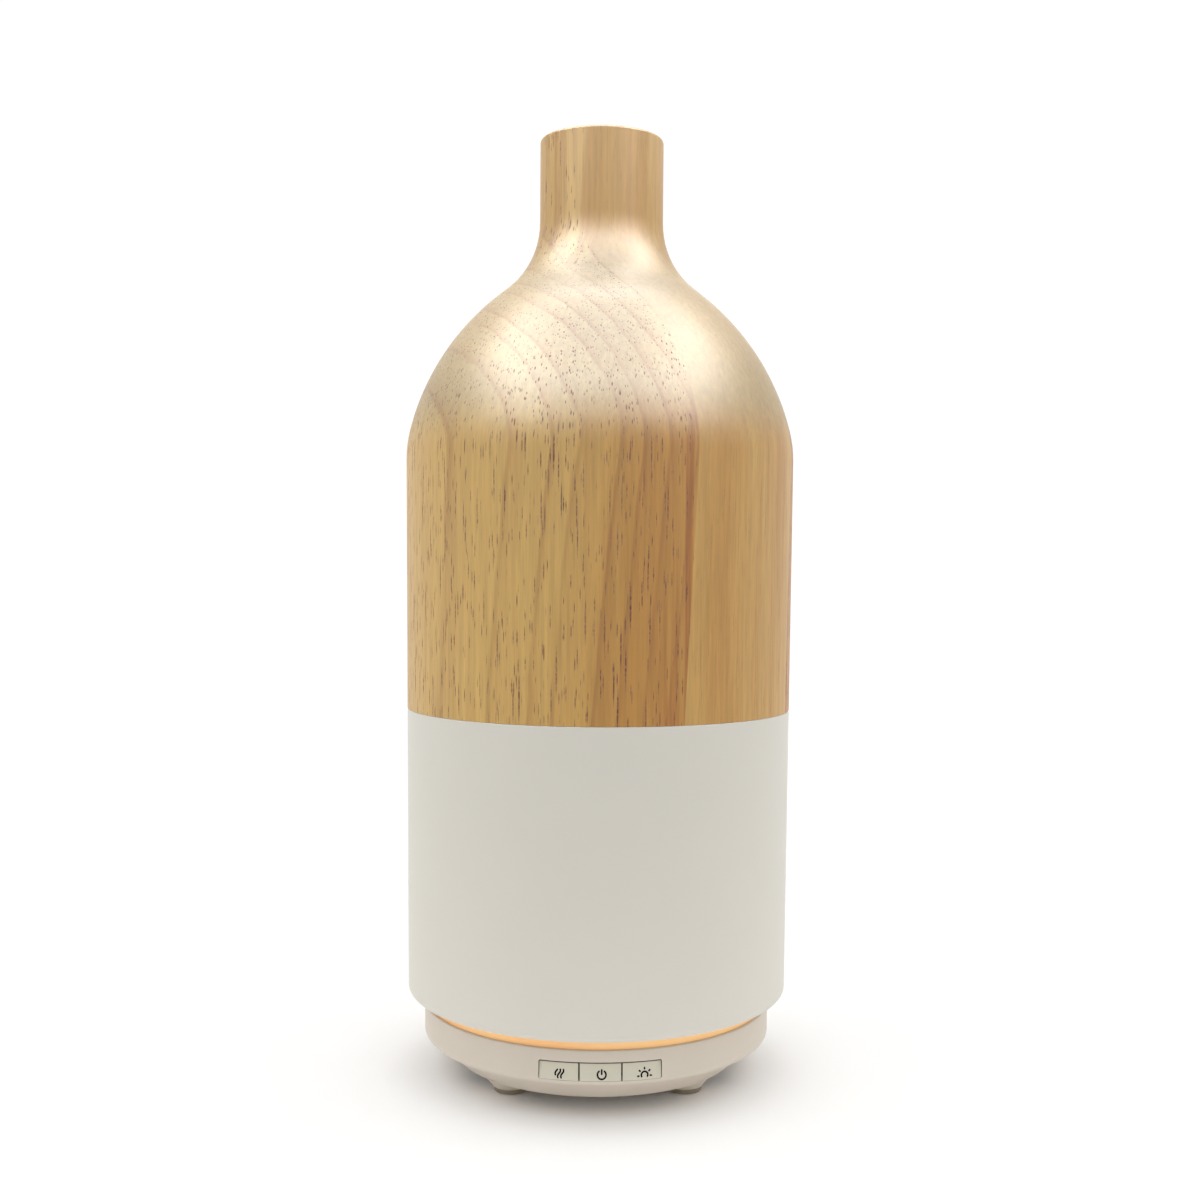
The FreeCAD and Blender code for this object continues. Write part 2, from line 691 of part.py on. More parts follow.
def tank():
    """Cup with the mist hole, the riser's hole and screw bosses under its floor."""
    corner = TANK_CORNER * (1 - math.sqrt(0.5))
    additions = [turned([
        (MIST_HOLE_R, TANK_FLOOR_Z),
        (TANK_R, TANK_FLOOR_Z),
        (TANK_R, TANK_TOP),
        (TANK_BORE_R, TANK_TOP),
        (TANK_BORE_R, TANK_FLOOR_TOP + TANK_CORNER),
        (TANK_BORE_R - corner, TANK_FLOOR_TOP + corner, TANK_BORE_R - TANK_CORNER, TANK_FLOOR_TOP),
        (MIST_FUNNEL_R, TANK_FLOOR_TOP),
        (MIST_HOLE_R, TANK_FLOOR_TOP - MIST_FUNNEL),
    ])]
    holes = [rod(RISER_R, TANK_FLOOR_Z, TANK_FLOOR_TOP, RISER_X)]
    for x, y in BOARD_POSTS:
        additions.append(rod(POST_R, MAIN_BOARD_TOP, TANK_FLOOR_Z, x, y))
        holes.append(rod(SMALL_SCREW_R + GLUE_GAP, MAIN_BOARD_TOP, BOARD_SCREW_TIP + 0.5, x, y))
    for angle in RETAINER_ANGLES:
        x, y = on_circle(RETAINER_SCREW_R, angle)
        additions.append(rod(RETAINER_BOSS_R, SEAL_Z, TANK_FLOOR_Z, x, y))
        holes.append(rod(SMALL_SCREW_R + GLUE_GAP, SEAL_Z, RETAINER_SCREW_TIP + 0.2, x, y))
    return fuse(additions).cut(fuse(holes))


def tank_collar():
    """Ring that carries the tank, with a flange and screw bosses on the base shell."""
    additions = [turned([
        (TANK_FLANGE_BORE_R, RING_TOP),
        (TANK_FLANGE_R, RING_TOP),
        (TANK_FLANGE_R, TANK_FLANGE_TOP),
        (TANK_R, TANK_FLANGE_TOP),
        (TANK_R, TANK_FLOOR_Z),
        (TANK_BORE_R, TANK_FLOOR_Z),
        (TANK_BORE_R, TANK_FLANGE_TOP),
        (TANK_FLANGE_BORE_R, TANK_FLANGE_TOP),
    ])]
    holes = []
    for angle in TANK_SCREW_ANGLES:
        x, y = on_circle(TANK_SCREW_RING_R, angle)
        additions.append(rod(TANK_BOSS_R, BASE_TOP, RING_TOP, x, y))
        holes.append(rod(TANK_SCREW_R + GLUE_GAP, BASE_TOP, TANK_SCREW_TIP + 0.2, x, y))
    return fuse(additions).cut(fuse(holes))


def air_riser():
    """Pipe through the tank's floor that lets the fan's air in above the water."""
    return tube(RISER_R, RISER_BORE_R, TANK_FLOOR_Z, RISER_TOP, RISER_X)


def tank_screws():
    head = (DECK_BOTTOM - TANK_HEAD, DECK_BOTTOM)
    places = [on_circle(TANK_SCREW_RING_R, angle) for angle in TANK_SCREW_ANGLES]
    return [screw(x, y, *head, TANK_SCREW_TIP, TANK_SCREW_R, TANK_HEAD_R) for x, y in places]


def transducer_disc():
    return rod(DISC_R, DISC_Z, DISC_Z + DISC_THICK)


def transducer_seal():
    """Soft ring with a groove that grips the disc's edge."""
    return turned([
        (MIST_HOLE_R, SEAL_Z),
        (SEAL_R, SEAL_Z),
        (SEAL_R, TANK_FLOOR_Z),
        (MIST_HOLE_R, TANK_FLOOR_Z),
        (MIST_HOLE_R, DISC_Z + DISC_THICK),
        (DISC_R, DISC_Z + DISC_THICK),
        (DISC_R, DISC_Z),
        (MIST_HOLE_R, DISC_Z),
    ])


def transducer_retainer():
    ring = [rod(RETAINER_R, RETAINER_Z, SEAL_Z)]
    holes = [rod(RETAINER_BORE_R, RETAINER_Z, SEAL_Z)]
    for angle in RETAINER_ANGLES:
        x, y = on_circle(RETAINER_SCREW_R, angle)
        ring.append(rod(RETAINER_EAR_R, RETAINER_Z, SEAL_Z, x, y))
        holes.append(rod(SMALL_SCREW_R + SCREW_CLEARANCE, RETAINER_Z, SEAL_Z, x, y))
    return fuse(ring).cut(fuse(holes))


def transducer_screws():
    places = [on_circle(RETAINER_SCREW_R, angle) for angle in RETAINER_ANGLES]
    head = (RETAINER_Z - SMALL_HEAD, RETAINER_Z)
    return [screw(x, y, *head, RETAINER_SCREW_TIP, SMALL_SCREW_R, SMALL_HEAD_R) for x, y in places]


# Fan and duct

def fan_frame():
    half = FAN_SIZE / 2
    frame = block((FAN_X - half, FAN_X + half), (-half, half), (FAN_Z, FAN_TOP))
    upright = [e for e in frame.Edges if abs(e.tangentAt(e.FirstParameter).z) > 0.9]
    frame = frame.makeFillet(FAN_CORNER_R, upright)
    holes = [rod(FAN_BORE_R, FAN_Z, FAN_TOP, FAN_X)]
    holes += [rod(FAN_HOLE_R, FAN_Z, FAN_TOP, x, y) for x, y in fan_corners(FAN_HOLE_INSET)]
    frame = frame.cut(fuse(holes))
    middle = [rod(FAN_HUB_R, FAN_Z, FAN_STRUT_TOP, FAN_X)]
    middle.append(rod(FAN_BEARING_R, FAN_Z, FAN_BEARING_TOP, FAN_X))
    reach = FAN_BORE_R + FAN_STRUT_OVERLAP
    for turn in FAN_STRUT_TURNS:
        strut = block((-reach, reach), (-FAN_STRUT_HALF, FAN_STRUT_HALF), (FAN_Z, FAN_STRUT_TOP))
        strut.rotate(vec(0, 0, 0), vec(0, 0, 1), turn)
        strut.translate(vec(FAN_X, 0, 0))
        middle.append(strut)
    bearing = rod(SHAFT_R + SHAFT_CLEARANCE, SHAFT_Z - 0.1, FAN_BEARING_TOP, FAN_X)
    return fuse([frame] + middle).cut(bearing)


def fan_shaft():
    return rod(SHAFT_R, SHAFT_Z, SHAFT_TOP, FAN_X)


def fan_rotor():
    """Hub like an upturned cup with pitched blades round it."""
    cup = rod(FAN_HUB_R, HUB_Z, HUB_TOP)
    cup = cup.cut(rod(FAN_HUB_R - HUB_WALL, HUB_Z, HUB_TOP - HUB_CROWN))
    blades = [cup]
    middle_z = (HUB_Z + HUB_TOP) / 2
    for index in range(BLADE_COUNT):
        half = BLADE_THICK / 2
        chord = (-BLADE_CHORD / 2, BLADE_CHORD / 2)
        blade = block((FAN_HUB_R - BLADE_ROOT, BLADE_R), chord, (middle_z - half, middle_z + half))
        blade.rotate(vec(0, 0, middle_z), vec(1, 0, 0), BLADE_PITCH)
        blade.rotate(vec(0, 0, 0), vec(0, 0, 1), index * 360 / BLADE_COUNT)
        blades.append(blade)
    rotor = fuse(blades).cut(rod(SHAFT_R, HUB_Z, SHAFT_TOP))
    rotor.translate(vec(FAN_X, 0, 0))
    return rotor


def tapered_slot(large, small, low, high):
    """Prism round a large circle at the fan and a small one at the riser."""
    distance = FAN_X - RISER_X
    lean = math.degrees(math.acos((large - small) / distance))
    points = []
    for centre, radius in ((FAN_X, large), (RISER_X, small)):
        for angle in (180 - lean, 180 + lean):
            x, y = on_circle(radius, angle)
            points.append(vec(centre + x, y, low))
    edges = [
        Part.Arc(points[0], vec(FAN_X + large, 0, low), points[1]).toShape(),
        Part.LineSegment(points[1], points[3]).toShape(),
        Part.Arc(points[3], vec(RISER_X - small, 0, low), points[2]).toShape(),
        Part.LineSegment(points[2], points[0]).toShape(),
    ]
    return Part.Face(Part.Wire(edges)).extrude(vec(0, 0, high - low))


def air_duct():
    """Flat box over the fan that leads into an upright pipe."""
    box = tapered_slot(DUCT_R, DUCT_PIPE_R, DUCT_Z, DUCT_TOP)
    inner_r = DUCT_R - DUCT_WALL
    inner_top = DUCT_TOP - DUCT_WALL
    inner = tapered_slot(inner_r, DUCT_PIPE_R - DUCT_WALL, DUCT_Z + DUCT_FLOOR, inner_top)
    intake = rod(inner_r, DUCT_Z, DUCT_Z + 2 * DUCT_FLOOR, FAN_X)
    pipe = rod(DUCT_PIPE_R, inner_top, DUCT_PIPE_TOP, RISER_X)
    pipe_bore = rod(RISER_BORE_R, inner_top - DUCT_WALL, DUCT_PIPE_TOP, RISER_X)
    return fuse([box, pipe]).cut(fuse([inner, intake, pipe_bore]))


def duct_seal():
    return tube(DUCT_PIPE_R, RISER_BORE_R, DUCT_PIPE_TOP, TANK_FLOOR_Z, RISER_X)


# Electronics

def main_board():
    disc = rod(MAIN_BOARD_R, MAIN_BOARD_Z, MAIN_BOARD_TOP)
    board = disc.common(block((MAIN_BOARD_EDGE_X, FAR), (-FAR, FAR), (MAIN_BOARD_Z, MAIN_BOARD_TOP)))
    clearance_r = SMALL_SCREW_R + SCREW_CLEARANCE
    holes = [rod(clearance_r, MAIN_BOARD_Z, MAIN_BOARD_TOP, x, y) for x, y in BOARD_POSTS]
    return board.cut(fuse(holes))


def board_screws():
    head = (MAIN_BOARD_Z - SMALL_HEAD, MAIN_BOARD_Z)
    return [screw(x, y, *head, BOARD_SCREW_TIP, SMALL_SCREW_R, SMALL_HEAD_R) for x, y in BOARD_POSTS]


def driver_inductor():
    """Wire-wound bobbin: two flanges with the winding between them."""
    low = MAIN_BOARD_TOP
    wire_low = low + INDUCTOR_FLANGE
    top = low + INDUCTOR_HEIGHT
    wire_top = top - INDUCTOR_FLANGE
    return fuse([
        rod(INDUCTOR_FLANGE_R, low, wire_low, *INDUCTOR_PLACE),
        rod(INDUCTOR_WIRE_R, wire_low, wire_top, *INDUCTOR_PLACE),
        rod(INDUCTOR_FLANGE_R, wire_top, top, *INDUCTOR_PLACE),
    ])


def capacitor():
    can = rod(CAPACITOR_R, MAIN_BOARD_TOP, MAIN_BOARD_TOP + CAPACITOR_HEIGHT, *CAPACITOR_PLACE)
    rims = [e for e in can.Edges if e.Curve.TypeId == "Part::GeomCircle"]
    return can.makeFillet(CAPACITOR_EDGE, rims)


def heat_sink():
    low_y = -SINK_HALF_Y
    pitch = (2 * SINK_HALF_Y - FIN_THICK) / (FIN_COUNT - 1)
    parts = [block(SINK_X, (low_y, SINK_HALF_Y), (MAIN_BOARD_TOP, MAIN_BOARD_TOP + SINK_PLATE))]
    for index in range(FIN_COUNT):
        y = low_y + index * pitch
        parts.append(block(SINK_X, (y, y + FIN_THICK), (MAIN_BOARD_TOP, MAIN_BOARD_TOP + SINK_HEIGHT)))
    return fuse(parts)


def controller_chip():
    low = MAIN_BOARD_TOP
    parts = [block(CHIP_X, CHIP_Y, (low + CHIP_LIFT, low + CHIP_HEIGHT))]
    pins_x = (CHIP_X[0] - PIN_REACH, CHIP_X[1] + PIN_REACH)
    first_y = (CHIP_Y[0] + CHIP_Y[1] - (PIN_COUNT - 1) * PIN_PITCH - PIN_SIZE) / 2
    for index in range(PIN_COUNT):
        y = first_y + index * PIN_PITCH
        parts.append(block(pins_x, (y, y + PIN_SIZE), (low, low + PIN_SIZE)))
    return fuse(parts)


def power_jack():
    body = block((-JACK_HALF_X, JACK_HALF_X), (JACK_BACK_Y, JACK_BODY_FRONT_Y),
                 (JACK_BODY_Z, JACK_BODY_TOP))
    barrel = rod_y(JACK_R, JACK_BACK_Y, JACK_ENTRY_Y, 0, JACK_Z)
    collar = rod_y(JACK_COLLAR_R, JACK_ENTRY_Y, JACK_FRONT_Y, 0, JACK_Z)
    bore = rod_y(JACK_BORE_R, JACK_BORE_Y, JACK_FRONT_Y, 0, JACK_Z)
    entry = rod_y(JACK_ENTRY_R, JACK_ENTRY_Y, JACK_FRONT_Y, 0, JACK_Z)
    socket = rod_y(JACK_PIN_R, JACK_BORE_Y - JACK_PIN_ROOT, JACK_BORE_Y, 0, JACK_Z)
    return fuse([body, barrel, collar]).cut(fuse([bore, entry, socket]))


def jack_pin():
    """Round pin with a tapered nose."""
    nose_length = JACK_PIN_R / 2
    shoulder_y = JACK_ENTRY_Y - JACK_PIN_RECESS - nose_length
    pin = rod_y(JACK_PIN_R, JACK_BORE_Y - JACK_PIN_ROOT, shoulder_y, 0, JACK_Z)
    nose = Part.makeCone(JACK_PIN_R, JACK_PIN_R / 2, nose_length, vec(0, shoulder_y, JACK_Z), vec(0, 1, 0))
    return fuse([pin, nose])


def power_leads():
    paths = []
    for x in POWER_LEADS_X:
        corner = vec(x, POWER_LEADS_Y, POWER_LEADS_Z)
        paths.append([vec(x, JACK_BACK_Y, POWER_LEADS_Z), corner, vec(x, POWER_LEADS_Y, MAIN_BOARD_Z)])
    return [bent_tube(path, LEAD_BEND, LEAD_R) for path in paths]


def fan_leads():
    side = FAN_X + FAN_SIZE / 2
    x = side + FAN_LEADS_REACH
    paths = []
    for y in FAN_LEADS_Y:
        paths.append([vec(side, y, FAN_LEADS_Z), vec(x, y, FAN_LEADS_Z), vec(x, y, MAIN_BOARD_Z)])
    return [bent_tube(path, LEAD_BEND, LEAD_R) for path in paths]


def transducer_leads():
    top_y = DISC_LEADS_TOP[0]
    low_y = DISC_LEADS_LOW[0]
    paths = []
    for x in DISC_LEADS_X:
        path = [vec(x, top_y, DISC_Z), vec(x, *DISC_LEADS_TOP), vec(x, *DISC_LEADS_LOW)]
        paths.append(path + [vec(x, low_y, MAIN_BOARD_TOP)])
    return [bent_tube(path, LEAD_BEND, LEAD_R) for path in paths]


def save(name, shape):
    """Write one node. A list is a group of separate solids."""
    if isinstance(shape, list):
        shape = Part.makeCompound(shape)
    for solid in shape.Solids:
        if not solid.isValid():
            raise ValueError(name + " is not a valid solid")
    Part.makeCompound(shape.Solids).exportStep("parts/" + name + ".step")


SINGLE_NODES = (
    cover_sleeve, wood_shell, spout_liner, mist_hood, chimney_tube, base_plate, base_shell,
    base_screws, light_ring, led_board, leds, button_board, tact_switches, tank, tank_collar,
    air_riser, tank_screws, transducer_disc, transducer_seal, transducer_retainer,
    transducer_screws, fan_frame, fan_shaft, fan_rotor, air_duct, duct_seal, main_board,
    board_screws, driver_inductor, capacitor, heat_sink, controller_chip, power_jack, jack_pin,
    power_leads, fan_leads, transducer_leads,
)


def main():
    os.makedirs("parts", exist_ok=True)
    for make in SINGLE_NODES:
        save(make.__name__, make())
    for name, angle in FOOT_ANGLES.items():
        save("foot_" + name, foot(angle))
    inner = BUTTON_SPLIT_X - BUTTON_GAP
    near = BUTTON_SPLIT_X + BUTTON_GAP
    far = PANEL_HALF_X - BUTTON_GAP
    save("mist_button", button(-far, -near, -SWITCH_X))
    save("power_button", button(-inner, inner, 0.0))
    save("light_button", button(near, far, SWITCH_X))


main()
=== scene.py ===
import json
import math

import bmesh
import bpy
from mathutils import Matrix, Vector


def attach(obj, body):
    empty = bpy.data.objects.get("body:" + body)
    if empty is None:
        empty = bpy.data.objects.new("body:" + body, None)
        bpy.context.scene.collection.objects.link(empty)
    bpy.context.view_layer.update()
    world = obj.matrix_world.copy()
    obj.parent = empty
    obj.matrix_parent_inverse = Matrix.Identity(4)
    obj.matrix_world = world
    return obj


MM = 0.001

# Camera: a product shot from just above the middle of the object. Angles in degrees, lens in millimetres.
CAMERA_DISTANCE = 327.5 * MM
CAMERA_SIDE = 0.24 * MM
CAMERA_HEIGHT = 112.5 * MM
CAMERA_AZIMUTH = -1.5
CAMERA_PITCH = -1.47
CAMERA_ROLL = 0.40
CAMERA_NEAREST = 10 * MM
LENS = 43.73
SENSOR = 36.0

# Light: a white world, dimmer on the camera's side, and two large lights above. Sizes in metres.
WORLD_FRONT = 0.58
WORLD_REAR = 1.05
WORLD_CHANGE = (-1.0, 0.3)       # the direction's Y between which the world goes from front to rear
LIGHT_PLACE = (0.0, -0.20, 0.95)
LIGHT_AIM = (0.0, 0.0, 0.12)
SOFTBOX_POWER = 1.0
SOFTBOX_SIZE = (0.9, 0.7)
HIGHLIGHT_POWER = 118.0
HIGHLIGHT_SIZE = (2.1, 1.1)

# Floor, in millimetres
FLOOR_SOLID = 110.0              # the floor is solid up to this distance from the object's axis
FLOOR_CLEAR = 260.0              # and gone from here on
FLOOR_DARK = (0.91, 0.91, 0.91)
FLOOR_LIGHT = (0.93, 0.93, 0.93)

# Wood: the cover is turned from a block glued up from three boards. Sizes in millimetres.
GLUE_ANGLE = 46.0                # direction across the boards, degrees from +X
GLUE_LEAN = -0.0416              # the boards lean this much with height
GLUE_HEIGHT = 128.6              # height at which the offsets below hold
GLUE_HALF = 0.1                  # half the width of a glue line
FRONT_GLUE = -15.06              # glue line between front and middle board
REAR_GLUE = 19.0                 # glue line between middle and rear board
PITH = (32.9, 5.6)               # centre of the growth rings, at GLUE_HEIGHT
PITH_LEAN = (-0.02, 0.08)        # its shift in x and y with each millimetre of height
RING_LINES = (43.0, 47.6, 51.3, 54.6, 57.3, 61.7, 64.3, 68.6, 73.4, 79.0)     # radii of the rings
RING_FIRST = 38.0                # the rings are drawn between these two radii
RING_LAST = 84.0
RING_FADE = 2.4                  # width of the darkening towards a ring's edge
RING_LINE = 0.6                  # width of the darkest part of it
RING_EDGE = 0.12                 # width of the step back to light wood
RING_WANDER = 2.5                # how far the rings stray from true circles
RING_SHADE = 0.55                # how much of the late wood's colour they take
HEART_TOP = 175.0                # the front board is darker below this height
HEART_BLEND = 40.0
HEART_FROM = 24.0                # it darkens from here to here, in front of the glue line
HEART_TO = 8.0
HEART_WANDER = 14.0
STREAKS_FROM = 7.0               # dark streaks gather from here to here, in front of the glue line
STREAKS_TO = 0.5
PAINTED_HIGHLIGHT_FROM = 136.0            # painted highlight: the shoulder is painted paler between these heights
PAINTED_HIGHLIGHT_TO = 186.0
PAINTED_HIGHLIGHT_BLEND = 12.0
PAINTED_HIGHLIGHT_SHARE = 0.65
FIBRE_CONTRAST = 0.55
FINE_CONTRAST = 0.3
MIDDLE_PORES = 0.18              # share of the pores that shows on the middle board
LACQUER_ROUGHNESS = 0.44
PORE_ROUGHNESS = 0.5             # added inside the pores

# Moulded plastic
DRIFT_SCALE = 0.05               # size of the slow change in colour, per millimetre
GLOSS_SWING = 0.05               # how far the roughness goes up and down
MOULD_TEXTURE = 0.25             # size of the spark-eroded texture, in millimetres
MOULD_DEPTH = 0.006              # and its depth

# Shading of the CAD meshes
WELD_DISTANCE = 0.001 * MM
SHARP_ANGLE = 28.0               # edges that turn by more stay sharp, in degrees

# Light ring
LAMP_COUNT = 12.0
LAMP_RIPPLE = 0.04               # how far a lamp stands out from the even glow
GLOW_STRENGTH = 0.42

# Buttons and the icons printed on them, in millimetres and degrees
FACE_LOW = (8.69, 38.35)         # height and radius of the button face at its lower edge
FACE_HIGH = (12.35, 37.8)        # and at its upper edge
BUTTON_SHADOW_LINE = (12.02, 12.16)     # painted shadow under the window's upper edge fades in between these heights
ICON_STROKE = 0.34
ICON_LIFT = 0.03
ICON_Z = 9.95
CAP_STEPS = 6
MIST_X = -8.31
MIST_SPACING = 0.64
WISP_HALF = 0.8                  # half the height of a wisp of mist
SHORT_WISP = (-0.3, 0.75)        # lower and upper end of the first one
WISP_SWAY = 0.14
WISP_LEAN = 0.28
WISP_WAVE = 1.66                 # height of one full swing
POWER_X = 0.25
POWER_RADIUS = 0.86
POWER_OPENING = 38               # the ring is open this far to each side of the top
POWER_BAR = (0.12, 0.95)
LIGHT_X = 8.90
LIGHT_DROP = 0.35                # the lamp's centre is this far under the middle of the button
LIGHT_RADIUS = 0.66
LIGHT_DIP = 28                   # the lamp's arc goes this far below its centre
RAY_ANGLES = (-8, 40, 90, 140, 188)
RAY_ENDS = (1.18, 1.38)


def linear(red, green, blue):
    """Linear colour from 8-bit display values."""
    channels = [value / 255 for value in (red, green, blue)]
    return tuple(c / 12.92 if c <= 0.04045 else ((c + 0.055) / 1.055) ** 2.4 for c in channels)


WOOD_PALE = linear(210, 170, 94)
WOOD_HEART = linear(191, 138, 62)
WOOD_DARK = linear(150, 76, 22)
WOOD_LATE = linear(148, 92, 40)
WOOD_PORE = linear(98, 36, 4)
# paler colour painted on the shoulder as a highlight from the lights above
WOOD_PAINTED_HIGHLIGHT = linear(166, 150, 110)
WOOD_MIDDLE = linear(190, 140, 68)
WOOD_MIDDLE_PALE = linear(202, 159, 86)
BUTTON_CREAM = linear(214, 209, 190)
# dark brown painted as the shadow under the window's upper edge
BUTTON_PAINTED_SHADOW = linear(70, 52, 42)
GLOW_DEEP = linear(232, 158, 86)
GLOW_PALE = linear(240, 182, 112)

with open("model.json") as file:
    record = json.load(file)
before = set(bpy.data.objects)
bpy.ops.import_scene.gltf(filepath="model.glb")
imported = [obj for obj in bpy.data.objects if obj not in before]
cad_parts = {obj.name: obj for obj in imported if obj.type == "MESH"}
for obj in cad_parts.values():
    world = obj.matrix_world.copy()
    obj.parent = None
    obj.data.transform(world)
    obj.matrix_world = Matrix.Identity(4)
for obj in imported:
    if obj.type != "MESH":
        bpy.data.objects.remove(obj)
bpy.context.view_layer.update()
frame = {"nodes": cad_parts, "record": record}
nodes = frame["nodes"]


# Node materials

class Shader:
    """One node material. Each method adds a node and returns the socket it ends in."""

    def __init__(self, name):
        self.material = bpy.data.materials.new(name)
        self.material.use_nodes = True
        self.tree = self.material.node_tree
        self.surface = self.tree.nodes["Principled BSDF"]

    def node(self, kind, inputs=(), **settings):
        made = self.tree.nodes.new("ShaderNode" + kind)
        for key, value in settings.items():
            setattr(made, key, value)
        for key, value in dict(inputs).items():
            self.put(made.inputs[key], value)
        return made

    def put(self, socket, value):
        if isinstance(value, bpy.types.NodeSocket):
            self.tree.links.new(value, socket)
        elif socket.type == "RGBA" and len(value) == 3:
            socket.default_value = (*value, 1.0)
        else:
            socket.default_value = value

    def set(self, **sockets):
        """Fills sockets of the Principled shader, with spaces written as underscores."""
        for name, value in sockets.items():
            self.put(self.surface.inputs[name.replace("_", " ")], value)

    def math(self, operation, first, second=0.0, third=0.0, clamp=False):
        made = self.node("Math", {0: first, 1: second, 2: third}, operation=operation, use_clamp=clamp)
        return made.outputs[0]

    def position(self, stretch=(1.0, 1.0, 1.0)):
        """Place on the object in millimetres, with each axis multiplied by stretch."""
        place = self.node("TexCoord").outputs["Object"]
        scale = tuple(s / MM for s in stretch)
        return self.node("VectorMath", {0: place, 1: scale}, operation="MULTIPLY").outputs[0]

    def noise(self, vector, scale, detail=2.0, roughness=0.5, distortion=0.0):
        inputs = {"Vector": vector, "Scale": scale, "Detail": detail, "Roughness": roughness,
                  "Distortion": distortion}
        return self.node("TexNoise", inputs).outputs["Fac"]

    def spread(self, value, low, high, to_low=0.0, to_high=1.0):
        """Maps low..high to to_low..to_high, with a soft start and end, and holds it outside."""
        inputs = {0: value, 1: low, 2: high, 3: to_low, 4: to_high}
        made = self.node("MapRange", inputs, interpolation_type="SMOOTHSTEP")
        return made.outputs[0]

    def mix(self, factor, first, second, blend="MIX"):
        made = self.node("Mix", {0: factor, 6: first, 7: second}, data_type="RGBA", blend_type=blend)
        return made.outputs[2]

    def vary(self, noise, strength, around=1.0):
        """Noise of 0..1 as a swing about a value."""
        return self.math("MULTIPLY_ADD", self.math("SUBTRACT", noise, 0.5), strength, around)

    def height(self):
        """Height on the object in millimetres."""
        return self.node("SeparateXYZ", {0: self.position()}).outputs[2]

    def ramp(self, value, stops):
        """Grey ramp from (place, brightness) pairs."""
        made = self.node("ValToRGB", {0: value})
        elements = made.color_ramp.elements
        while len(elements) < len(stops):
            elements.new(1.0)
        for element, (place, level) in zip(elements, stops):
            element.position = place
            element.color = (level, level, level, 1.0)
        return made.outputs["Color"]

    def bump(self, height, distance, strength=1.0):
        made = self.node("Bump", {"Height": height, "Distance": distance * MM, "Strength": strength})
        self.put(self.surface.inputs["Normal"], made.outputs[0])


def grain_noise(s, stretch, scale, detail=2.0, roughness=0.5):
    """Noise drawn out along the grain, which runs up the object, to 1 / stretch of its width."""
    return s.noise(s.position((1, 1, stretch)), scale, detail, roughness)


def board_distance(s, place):
    """Signed distance across the boards from the block's middle."""
    angle = math.radians(GLUE_ANGLE)
    across = (math.cos(angle), math.sin(angle), GLUE_LEAN)
    dot = s.node("VectorMath", {0: place, 1: across}, operation="DOT_PRODUCT").outputs["Value"]
    return s.math("SUBTRACT", dot, GLUE_LEAN * GLUE_HEIGHT)


def outer_boards(s, across):
    """1 on the flat-sawn front and rear boards, and 0 on the middle one."""
    front = s.spread(across, FRONT_GLUE - GLUE_HALF, FRONT_GLUE + GLUE_HALF, 1.0, 0.0)
    rear = s.spread(across, REAR_GLUE - GLUE_HALF, REAR_GLUE + GLUE_HALF, 0.0, 1.0)
    return s.math("ADD", front, rear, clamp=True)


def pith_distance(s, place, height):
    """Distance from the leaning centre line of the growth rings."""
    rise = s.math("SUBTRACT", height, GLUE_HEIGHT)
    shift_x = s.math("MULTIPLY_ADD", rise, PITH_LEAN[0], PITH[0])
    shift_y = s.math("MULTIPLY_ADD", rise, PITH_LEAN[1], PITH[1])
    centre = s.node("CombineXYZ", {0: shift_x, 1: shift_y, 2: height}).outputs[0]
    return s.node("VectorMath", {0: place, 1: centre}, operation="DISTANCE").outputs["Value"]


def ring_lines(s, distance):
    """1 at the dark edge of each growth ring, fading out towards the pith."""
    span = RING_LAST - RING_FIRST
    profile = ((-RING_FADE, 0.0), (-RING_LINE, 0.35), (-RING_EDGE, 1.0), (RING_EDGE, 0.0))
    share = s.math("DIVIDE", s.math("SUBTRACT", distance, RING_FIRST), span)
    half = len(RING_LINES) // 2
    ramps = []
    for lines in (RING_LINES[:half], RING_LINES[half:]):
        stops = [((line + offset - RING_FIRST) / span, level)
                 for line in lines for offset, level in profile]
        ramps.append(s.ramp(share, stops))
    return s.math("MAXIMUM", *ramps)


def growth_rings(s, place, height, flat_sawn):
    """Rings of uneven strength on the flat-sawn boards."""
    wander = grain_noise(s, 0.35, 0.055, 3.0, 0.55)
    rings = ring_lines(s, s.vary(wander, RING_WANDER, pith_distance(s, place, height)))
    strength = s.spread(grain_noise(s, 0.3, 0.08), 0.3, 0.7, 0.5, 1.0)
    return s.math("MULTIPLY", s.math("MULTIPLY", rings, strength), flat_sawn)


def board_colour(s, across, height, flat_sawn):
    """Pale boards, darker towards the heart, with dark streaks beside the front glue line."""
    broad = grain_noise(s, 0.05, 0.16, 4.0, 0.6)
    streak = grain_noise(s, 0.02, 0.45, 3.0, 0.6)
    low = s.spread(height, HEART_TOP - HEART_BLEND, HEART_TOP, 1.0, 0.0)
    depth = s.vary(broad, HEART_WANDER, across)
    heart = s.math("MULTIPLY", s.spread(depth, FRONT_GLUE - HEART_FROM, FRONT_GLUE - HEART_TO), low)
    outer = s.mix(heart, WOOD_PALE, WOOD_HEART)
    near_glue = s.spread(across, FRONT_GLUE - STREAKS_FROM, FRONT_GLUE - STREAKS_TO)
    near_glue = s.math("MULTIPLY", near_glue, s.math("MULTIPLY_ADD", low, 0.25, 0.3))
    streaks = s.math("MULTIPLY", s.spread(streak, 0.48, 0.62), s.math("ADD", near_glue, 0.08))
    outer = s.mix(streaks, outer, WOOD_DARK)
    middle = s.mix(s.spread(broad, 0.3, 0.7), WOOD_MIDDLE, WOOD_MIDDLE_PALE)
    return s.mix(flat_sawn, middle, outer)


